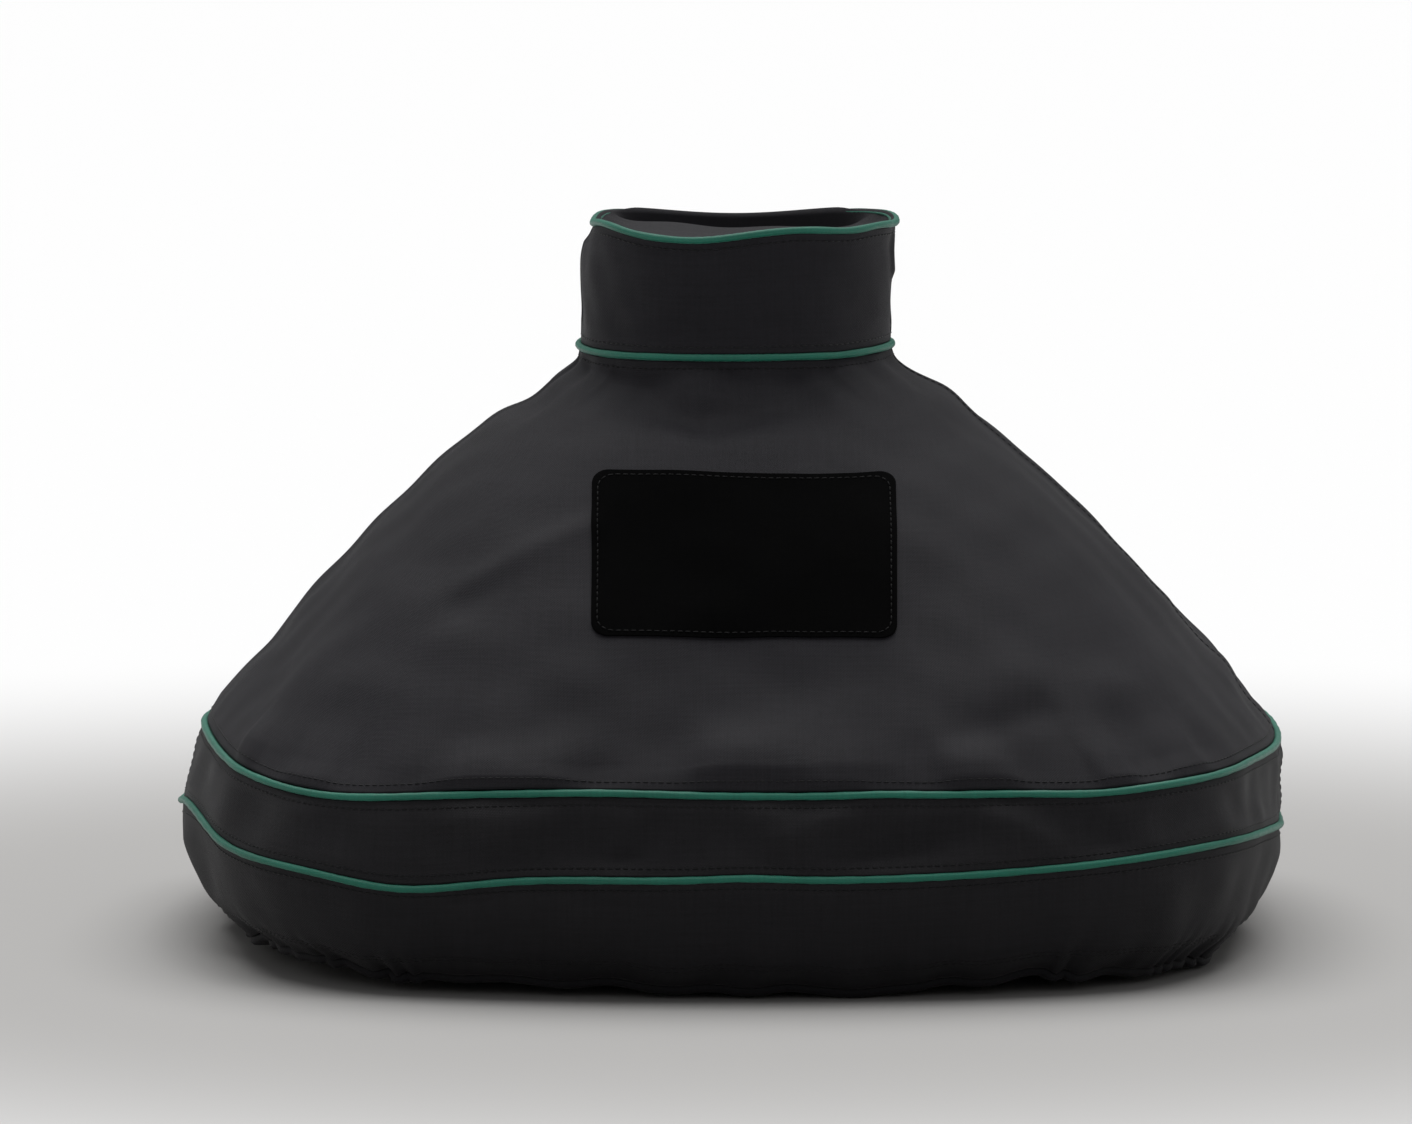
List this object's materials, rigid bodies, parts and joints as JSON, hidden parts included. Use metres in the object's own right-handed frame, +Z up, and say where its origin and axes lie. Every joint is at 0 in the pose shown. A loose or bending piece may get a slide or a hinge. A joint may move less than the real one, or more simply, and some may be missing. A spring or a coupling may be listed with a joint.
{
  "type": "grill cover",
  "caption": "Black fabric cover for the domed top of an egg-shaped grill, with a closed vent collar, green piping, a side band and an elastic hem.",
  "frame": {"origin": "centre of the bottom, on the surface that the hem stands on", "axes": "+Z up, -Y towards the front, which carries the blank patch, +X to the right seen from the front"},
  "size_m": [0.6635, 0.6634, 0.4306],
  "materials": {
    "shell_cloth": "matte coated weave",
    "band_cloth": "matte coated weave",
    "piping_cloth": "satin bias tape",
    "piping_filler": "twisted cord",
    "seam_tape": "matte woven tape",
    "elastic": "braided elastic",
    "patch_cloth": "matte close weave"
  },
  "bodies": {
    "root": {"band_bottom_piping": "piping_cloth", "band_bottom_piping_filler": "piping_filler", "band_bottom_seam_tape": "seam_tape", "band_side_tape_left": "seam_tape", "band_side_tape_right": "seam_tape", "band_top_piping": "piping_cloth", "band_top_piping_filler": "piping_filler", "band_top_seam_tape": "seam_tape", "collar_back": "shell_cloth", "collar_base_piping": "piping_cloth", "collar_base_piping_filler": "piping_filler", "collar_base_seam_tape": "seam_tape", "collar_front": "shell_cloth", "collar_side_tape_left": "seam_tape", "collar_side_tape_right": "seam_tape", "collar_top_disc": "shell_cloth", "collar_top_piping": "piping_cloth", "collar_top_piping_filler": "piping_filler", "collar_top_seam_tape": "seam_tape", "dome_back": "shell_cloth", "dome_front": "shell_cloth", "dome_side_tape_left": "seam_tape", "dome_side_tape_right": "seam_tape", "front_patch": "patch_cloth", "hem_casing": "band_cloth", "hem_elastic": "elastic", "side_band_back": "band_cloth", "side_band_front": "band_cloth", "skirt_back": "band_cloth", "skirt_front": "band_cloth", "skirt_side_tape_left": "seam_tape", "skirt_side_tape_right": "seam_tape"}
  },
  "joints": []
}
